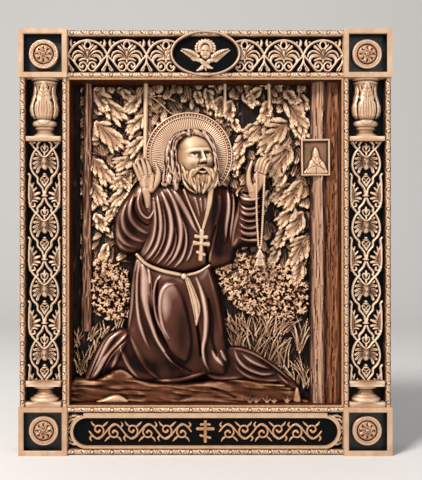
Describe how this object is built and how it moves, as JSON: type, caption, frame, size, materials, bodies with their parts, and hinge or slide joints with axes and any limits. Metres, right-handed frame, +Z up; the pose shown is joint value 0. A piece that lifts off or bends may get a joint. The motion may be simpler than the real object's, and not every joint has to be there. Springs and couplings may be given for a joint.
{
  "type": "carved wooden icon",
  "caption": "Carved and gilt wooden icon: a deep relief of a kneeling saint in a forest, in a joined frame with a ring hanger at the back.",
  "frame": {"origin": "under the middle of the bottom edge, half way through the depth", "axes": "+Z up the icon's height, +X to the viewer's right, +Y from the viewer into the wall"},
  "size_m": [0.28, 0.038, 0.32],
  "materials": {
    "gilt_wood": "satin bronze-gold lacquer rubbed over carved wood",
    "black_lacquered_wood": "satin black lacquer on the fields, dark stain behind",
    "carved_wood": "carved wood, waxed, with dark patina in the hollows",
    "dark_bronzed_wood": "carved wood stained dark, rubbed to a soft shine",
    "stained_wood": "reddish-brown stain, satin",
    "plywood": "bare birch plywood",
    "dowel_wood": "bare beech",
    "zinc_plated_steel": "zinc plated, satin"
  },
  "bodies": {
    "icon": {"back_board": "plywood", "back_board_screws": "zinc_plated_steel", "beard": "carved_wood", "bottom_rail": "black_lacquered_wood", "bushes": "carved_wood", "cherub": "gilt_wood", "corner_block_bottom_left": "gilt_wood", "corner_block_bottom_right": "gilt_wood", "corner_block_top_left": "gilt_wood", "corner_block_top_right": "gilt_wood", "corner_rosettes": "gilt_wood", "frame_dowels": "dowel_wood", "frieze_fretwork_left": "gilt_wood", "frieze_fretwork_right": "gilt_wood", "grass": "carved_wood", "hair": "carved_wood", "halo": "gilt_wood", "hand_left": "carved_wood", "hand_right": "carved_wood", "hanger_screws": "zinc_plated_steel", "hanger_strap": "zinc_plated_steel", "head": "carved_wood", "inner_bead_bottom": "gilt_wood", "inner_bead_left": "gilt_wood", "inner_bead_right": "gilt_wood", "inner_bead_top": "gilt_wood", "left_stile": "black_lacquered_wood", "medallion_plate": "black_lacquered_wood", "medallion_ring": "gilt_wood", "outer_bead_bottom": "gilt_wood", "outer_bead_left": "gilt_wood", "outer_bead_right": "gilt_wood", "outer_bead_top": "gilt_wood", "pectoral_cross": "gilt_wood", "pedestal_left": "gilt_wood", "pedestal_right": "gilt_wood", "pilaster_fretwork_left": "gilt_wood", "pilaster_fretwork_right": "gilt_wood", "relief_panel": "carved_wood", "right_stile": "black_lacquered_wood", "robe": "dark_bronzed_wood", "robe_bands": "gilt_wood", "rock": "carved_wood", "rosary": "carved_wood", "sight_edge_strips": "gilt_wood", "sleeve_left": "dark_bronzed_wood", "sleeve_right": "dark_bronzed_wood", "spruce_boughs_left": "carved_wood", "spruce_boughs_right": "carved_wood", "tablet_ornament": "gilt_wood", "tablet_plate": "black_lacquered_wood", "tablet_spandrels": "gilt_wood", "tablet_surround": "gilt_wood", "top_rail": "black_lacquered_wood", "tree_icon": "gilt_wood", "tree_trunk_near": "stained_wood", "tree_trunks_far": "stained_wood", "vase_left": "gilt_wood", "vase_right": "gilt_wood"},
    "ring": {"hanger_ring": "zinc_plated_steel"}
  },
  "joints": [
    {"name": "hanger_ring_swing", "type": "hinge", "parent": "icon", "child": "ring", "pos_m": [0, 0.015, 0.258], "axis": [1, 0, 0], "range_deg": [0, 170]}
  ]
}
